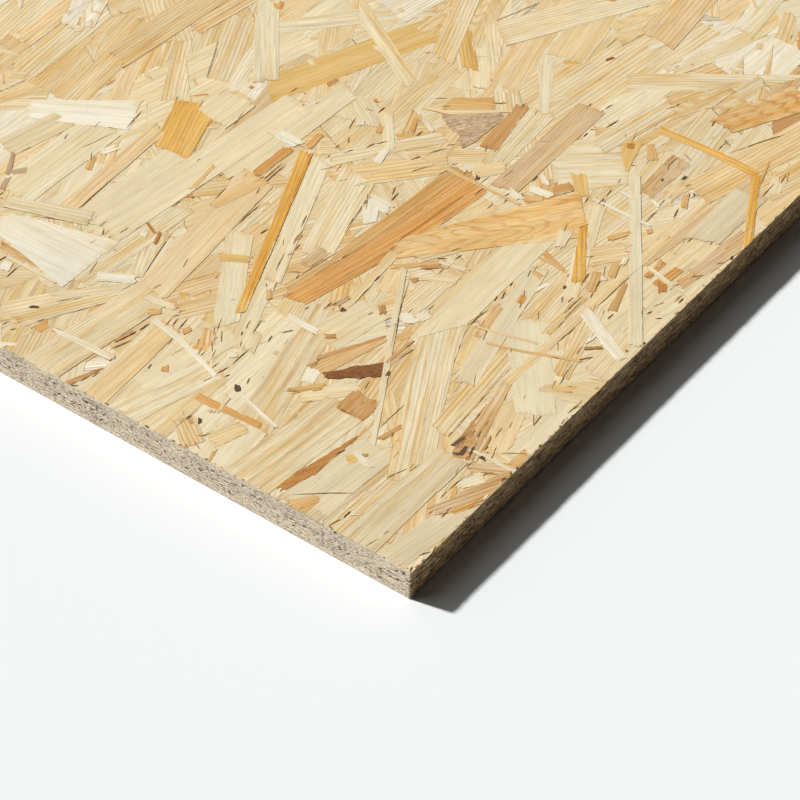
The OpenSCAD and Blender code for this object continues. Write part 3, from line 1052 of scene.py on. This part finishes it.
def sawn_edge():
    """The sawn section of pressed flakes: greyer than the faces where the saw met end grain, browner along
    the length, drawn out in fine layers, peppered with cut ends, and with painted shade where flakes left a
    pit."""
    made = bpy.data.materials.new("sawn_strand_board_edge")
    made.use_nodes = True
    tree = made.node_tree
    tree.nodes.clear()
    coordinates = add(tree, "ShaderNodeTexCoord").outputs
    x, y, z = add(tree, PARTS, [coordinates["Object"]]).outputs
    facing = add(tree, PARTS, [coordinates["Normal"]]).outputs[1]
    # Sides run along X or along Y, so the sum of both counts along either
    along = add(tree, MATH, [x, y], operation="ADD")
    wall = add(tree, WHOLE, [along, z])

    # Grey and pinkish end grain on the short sides, a darker brown on the long ones
    sideways = add(tree, MATH, [facing], operation="ABSOLUTE")
    long_side = add(tree, RANGE, [sideways, 0.3, 0.8, 0.0, 1.0])
    hue = add(tree, RANGE, [streaks(tree, wall, 5, 1.1, 2, 43.0), 0.3, 0.7, 0.0, 1.0])
    ends_hue = {SHARE: hue, FIRST: linear("#EDD6BC"), SECOND: linear("#EFE4C8")}
    end_grain = add(tree, MIX, ends_hue, data_type="RGBA")
    long_side_hues = {SHARE: hue, FIRST: linear("#A3835C"), SECOND: linear("#B59B74")}
    long_side_tone = add(tree, MIX, long_side_hues, data_type="RGBA")
    tone = add(tree, MIX, {SHARE: long_side, FIRST: end_grain, SECOND: long_side_tone}, data_type="RGBA")

    # Lightness: cut ends pepper it, fine layers run along it, wide patches differ, and the long sides have
    # stronger streaks
    layers = streaks(tree, wall, 16, 0.6, 3, 0.0)
    ends = streaks(tree, wall, 1.5, 0.55, 3, 9.0)
    patches = streaks(tree, wall, 45, 10, 2, 31.0)
    peppered = add(tree, RANGE, [ends, 0.25, 0.75, 0.35, 1.6])
    spread = add(tree, RANGE, [long_side, 0.0, 1.0, 0.4, 0.75])
    uneven = add(tree, RANGE, [layers, 0.25, 0.75, -1.0, 1.0])
    layered = add(tree, MATH, [uneven, spread], operation="MULTIPLY")
    patched = add(tree, RANGE, [patches, 0.2, 0.8, -0.1, 0.1])
    long_side_streaks = add(tree, RANGE, [streaks(tree, wall, 8, 1.3, 3, 77.0), 0.3, 0.7, -0.9, 0.9])
    long_side_streaked = add(tree, MATH, [long_side_streaks, long_side], operation="MULTIPLY")
    level = peppered
    for change in (layered, patched, long_side_streaked):
        level = add(tree, MATH, [level, change], operation="ADD")
    shaded = add(tree, VECTOR_MATH, {0: tone, "Scale": level}, operation="SCALE")

    # Pits, painted dark as the shade in them, gather in clusters, mostly in the middle of the section, where
    # the flakes are coarser
    middle = (PANEL_LOW.z + PANEL_HIGH.z) / 2
    above = add(tree, MATH, [z, middle], operation="SUBTRACT")
    off_middle = add(tree, MATH, [above], operation="ABSOLUTE")
    crowded = add(tree, RANGE, [off_middle, 0.25 * THICKNESS, 0.45 * THICKNESS, 1.0, 0.4])
    clusters = add(tree, RANGE, [streaks(tree, wall, 12, 4, 2, 29.0), 0.35, 0.55, 0.2, 1.0])
    gathered = add(tree, MATH, [crowded, clusters], operation="MULTIPLY")
    pits = add(tree, RANGE, [streaks(tree, wall, 2.6, 0.7, 3, 17.0), 0.54, 0.57, 0.0, 1.0])
    pitted = add(tree, MATH, [pits, gathered], operation="MULTIPLY")
    # Painted shade in the pits: in the drawn ones, and in the hollows cut into the sides, darker the deeper
    pit_shade = add(tree, MARKED, attribute_name="pit_shade").outputs["Fac"]
    dark = add(tree, MATH, [pitted, pit_shade], operation="MAXIMUM")
    colour = add(tree, MIX, {SHARE: dark, FIRST: shaded, SECOND: linear("#3F2817")}, data_type="RGBA")

    grained = add(tree, MATH, [layers, ends], operation="ADD")
    relief = add(tree, MATH, [pitted, -1.5, grained], operation="MULTIPLY_ADD")
    bump = add(tree, "ShaderNodeBump", {"Strength": 0.5, "Distance": 0.2 * MM, "Height": relief})
    finish = {
        "Base Color": colour,
        "Roughness": 0.75,
        "Normal": bump,
        "Specular IOR Level": 0.15,
        "IOR": 1.5,
    }
    add(tree, "ShaderNodeOutputMaterial", [add(tree, "ShaderNodeBsdfPrincipled", finish)])
    return made


# Core with its sawn sides


def wall_path():
    """Points round the panel's outline with outward normals, closer together by the corner in view."""
    fine, coarse, shortest = 0.8 * MM, 2.4 * MM, 0.4 * MM
    fine_reach = 460 * MM
    corner_steps = 6
    half_x, half_y = PANEL_SIZE.x / 2 - CORNER_RADIUS, PANEL_SIZE.y / 2 - CORNER_RADIUS
    middle = (PANEL_LOW + PANEL_HIGH) / 2
    corners = [(-1, -1), (1, -1), (1, 1), (-1, 1)]
    points, normals = [], []
    for number, (side_x, side_y) in enumerate(corners):
        centre = Vector((middle.x + side_x * half_x, middle.y + side_y * half_y))
        start = math.pi + number * math.pi / 2
        for step in range(corner_steps + 1):
            turn = start + step / corner_steps * math.pi / 2
            normal = Vector((math.cos(turn), math.sin(turn)))
            points.append(centre + normal * CORNER_RADIUS)
            normals.append(normal)
        next_x, next_y = corners[(number + 1) % 4]
        target = Vector((middle.x + next_x * half_x, middle.y + next_y * half_y)) + normal * CORNER_RADIUS
        run = (target - points[-1]).length
        heading = (target - points[-1]).normalized()
        origin = points[-1].copy()
        near_start, near_end = number == 0, number == 3
        place = 0.0
        while True:
            in_view = (near_start and place < fine_reach) or (near_end and run - place < fine_reach)
            place += fine if in_view else coarse
            if place > run - shortest:
                break
            points.append(origin + heading * place)
            normals.append(normal)
    return points, normals


def side_pits(rng, run, around, heights):
    """How deep the sawn sides are pitted, at each point round the panel and each height."""
    saw_marks, pit_spacing = 0.05 * MM, 9 * MM
    corner_pits, corner_reach = 14, 12 * MM
    depth = rng.uniform(0, saw_marks, (len(run), len(heights)))
    places = rng.uniform(0, around, int(around / pit_spacing)).tolist()
    # Handling breaks more out of the corners
    second = PANEL_SIZE.x
    third = second + PANEL_SIZE.y
    fourth = third + PANEL_SIZE.x
    for corner in (0, second, third, fourth, around):
        places += (corner + rng.normal(0, corner_reach, corner_pits)).tolist()
    for where in places:
        high = rng.normal((PANEL_LOW.z + PANEL_HIGH.z) / 2, THICKNESS * 0.22)
        half_long = rng.gamma(2.0, 0.3 * MM) + 0.6 * MM
        half_high = rng.uniform(0.4, 0.7) * MM
        deep = rng.uniform(0.3, 0.9) * MM
        slope = rng.normal(0, 0.15)
        first, last = np.searchsorted(run, [where - half_long, where + half_long])
        near = run[first:last, None] - where
        away = (near / half_long) ** 2 + ((heights - high - slope * near) / half_high) ** 2
        depth[first:last] = np.maximum(depth[first:last], deep * np.clip(1 - away, 0, 1))
    depth[:, 0] = 0
    depth[:, -1] = 0
    return depth


def wall_map(run, steps, heights):
    """A map of the sides, cut into lengths that lie in rows above each other: four spots for each cell."""
    rows = 20
    length = steps.sum() / rows
    spare = 4 * MM
    row = np.minimum(run // length, rows - 1)
    left = (run - row * length + spare) / (length + 2 * spare)
    right = left + steps / (length + 2 * spare)
    level = 0.04 + 0.92 * (heights - heights[0]) / (heights[-1] - heights[0])
    low = (row[:, None] + level[:-1]) / rows
    high = (row[:, None] + level[1:]) / rows
    left = np.broadcast_to(left[:, None], low.shape)
    right = np.broadcast_to(right[:, None], low.shape)
    spots = [(left, low), (right, low), (right, high), (left, high)]
    return np.stack([np.stack(spot, -1) for spot in spots], -2)


def core_with_sides(material):
    """The panel under its face strands, with small pits in the sawn sides."""
    rng = np.random.default_rng(SEED + 7)
    points, normals = wall_path()
    count = len(points)
    row_count = 22
    heights = np.linspace(PANEL_LOW.z + CORE_INSET, PANEL_HIGH.z - CORE_INSET, row_count)
    flat = np.array(points)
    steps = np.linalg.norm(np.roll(flat, -1, 0) - flat, axis=1)
    run = np.cumsum(steps) - steps
    depth = side_pits(rng, run, steps.sum(), heights)
    verts = np.empty((count, row_count, 3))
    verts[..., :2] = flat[:, None] - np.array(normals)[:, None] * depth[..., None]
    verts[..., 2] = heights
    faces = []
    for i in range(count):
        here, there = i * row_count, (i + 1) % count * row_count
        faces += [(here + k, there + k, there + k + 1, here + k + 1) for k in range(row_count - 1)]
    faces.append([i * row_count + row_count - 1 for i in range(count)])
    faces.append([i * row_count for i in reversed(range(count))])
    made = bpy.data.meshes.new("panel_core")
    made.from_pydata(verts.reshape(-1, 3).tolist(), [], faces)
    # The shade painted into a pit deepens with its depth, and pits of this depth are as dark as any
    full_depth = 0.6 * MM
    pitted = np.clip(depth / full_depth, 0, 1).astype(np.float32)
    made.attributes.new("pit_shade", "FLOAT", "POINT").data.foreach_set("value", pitted.ravel())
    # The two covered faces share one corner of the map
    spots = np.concatenate([wall_map(run, steps, heights).reshape(-1, 2), np.full((2 * count, 2), 0.001)])
    made.uv_layers.new(name="OFBake").data.foreach_set("uv", spots.astype(np.float32).ravel())
    made.materials.append(material)
    piece = bpy.data.objects.new("panel_core", made)
    bpy.context.scene.collection.objects.link(piece)
    return piece


# Pieces


def build_panel():
    """The core, and five bands of strands on each face, riding on the panel's body."""
    blanks = strand_blanks()
    tree = strand_tree(blanks, pressed_strand())
    core = core_with_sides(sawn_edge())
    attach(core, "root")
    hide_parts("osb_panel")
    bands = 5
    band_width = PANEL_SIZE.y / bands
    for face, turned_over, seed in (("upper", False, SEED + 1), ("under", True, SEED + 100)):
        rng = np.random.default_rng(seed)
        rows = []
        for layer in LAYERS:
            rows += scattered_strands(rng, *layer, not turned_over)
        if not turned_over:
            laid = laid_strands(rng)
            rows += edge_chips(rng) + laid + torn_bits(rng, laid)
        # Lowest first, so that in the flat map a strand covers those below it
        rows.sort(key=lambda r: -r["drop"])
        band_of = [min(max(int(r["y"] * MM // band_width), 0), bands - 1) for r in rows]
        for band in range(bands):
            own = [r for r, place in zip(rows, band_of) if place == band]
            name = f"{face}_strands_{band + 1}"
            band_low = PANEL_LOW.y + band * band_width
            piece = face_strands(name, own, tree, rng, band_low, band_width, turned_over)
            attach(piece, "root")
    for blank in list(blanks.objects):
        bpy.data.objects.remove(blank)
    bpy.data.collections.remove(blanks)


# Floor, light and camera

# The camera, read off the panel's edges in the picture of 800 by 800 pixels
PICTURE_PIXELS = 800
SENSOR_MM = 36
LENS_MM = 216
CAMERA_PITCH = math.radians(44.56)
CAMERA_HEADING = math.radians(35.07)
CAMERA_ROLL = math.radians(1.905)
CORNER_PIXEL = (410.0, 599.7)
CORNER_DISTANCE = 2.2263

# The key light, read off the shadow of the corner in view, and a broad glow round it
KEY_ELEVATION = math.radians(38.8)
KEY_HEADING = math.radians(-77)
KEY_SPREAD = math.radians(4.5)
KEY_LEVEL = 0.86
GLOW_SPREAD = math.radians(70)
GLOW_LEVEL = 0.13
FILL_LEVEL = 0.015


def aim_camera():
    """The camera stands where the corner in view falls on its own spot in the picture."""
    heading = Vector((math.cos(CAMERA_HEADING), math.sin(CAMERA_HEADING), 0))
    level_right = Vector((math.sin(CAMERA_HEADING), -math.cos(CAMERA_HEADING), 0))
    upward = Vector((0, 0, 1))
    ahead = heading * math.cos(CAMERA_PITCH) - upward * math.sin(CAMERA_PITCH)
    level_up = heading * math.sin(CAMERA_PITCH) + upward * math.cos(CAMERA_PITCH)
    right = level_right * math.cos(CAMERA_ROLL) + level_up * math.sin(CAMERA_ROLL)
    up = level_up * math.cos(CAMERA_ROLL) - level_right * math.sin(CAMERA_ROLL)
    pixels_per_length = LENS_MM / SENSOR_MM * PICTURE_PIXELS
    sideways = (CORNER_PIXEL[0] - PICTURE_PIXELS / 2) / pixels_per_length
    downward = (CORNER_PIXEL[1] - PICTURE_PIXELS / 2) / pixels_per_length
    place = PANEL_LOW - (ahead + right * sideways - up * downward) * CORNER_DISTANCE
    camera = bpy.data.objects.new("camera", bpy.data.cameras.new("camera"))
    camera.data.lens = LENS_MM
    camera.data.sensor_width = SENSOR_MM
    camera.data.clip_end = 200
    turn = Matrix((right, up, -ahead)).transposed()
    camera.matrix_world = Matrix.Translation(place) @ turn.to_4x4()
    bpy.context.scene.collection.objects.link(camera)
    bpy.context.scene.camera = camera


def light_scene():
    """A key light with a soft glow round it, and a white backdrop that gives off only a little light."""
    level_part = math.cos(KEY_ELEVATION)
    travel = Vector((
        math.cos(KEY_HEADING) * level_part, math.sin(KEY_HEADING) * level_part, -math.sin(KEY_ELEVATION)))
    for name, spread, level in (("key_light", KEY_SPREAD, KEY_LEVEL), ("key_glow", GLOW_SPREAD, GLOW_LEVEL)):
        sun = bpy.data.lights.new(name, "SUN")
        sun.energy = math.pi * level / math.sin(KEY_ELEVATION)
        sun.angle = spread
        lamp = bpy.data.objects.new(name, sun)
        lamp.rotation_euler = travel.to_track_quat("-Z", "Y").to_euler()
        bpy.context.scene.collection.objects.link(lamp)
    world = bpy.data.worlds.new("studio")
    world.use_nodes = True
    tree = world.node_tree
    tree.nodes.clear()
    seen = add(tree, "ShaderNodeLightPath").outputs
    direct = add(tree, MATH, [seen["Is Camera Ray"], seen["Is Glossy Ray"]], operation="MAXIMUM")
    level = add(tree, RANGE, [direct, 0.0, 1.0, FILL_LEVEL, 1.0])
    backdrop = add(tree, "ShaderNodeBackground", {"Color": linear("#FFFFFF"), "Strength": level})
    add(tree, "ShaderNodeOutputWorld", [backdrop])
    bpy.context.scene.world = world


def pale_floor():
    """Matt white paper under the panel: even and without a shine, so that only the shadow shows on it."""
    reach = 40
    corners = [(-reach, -reach, 0), (reach, -reach, 0), (reach, reach, 0), (-reach, reach, 0)]
    made = bpy.data.meshes.new("floor")
    made.from_pydata(corners, [], [(0, 1, 2, 3)])
    material = bpy.data.materials.new("white_paper")
    material.use_nodes = True
    shader = material.node_tree.nodes["Principled BSDF"]
    shader.inputs["Base Color"].default_value = linear("#F4F6F6")
    shader.inputs["Roughness"].default_value = 0.9
    shader.inputs["Specular IOR Level"].default_value = 0.0
    made.materials.append(material)
    floor = bpy.data.objects.new("floor", made)
    bpy.context.scene.collection.objects.link(floor)


bpy.context.scene.view_settings.view_transform = "Standard"
aim_camera()
light_scene()
pale_floor()
build_panel()
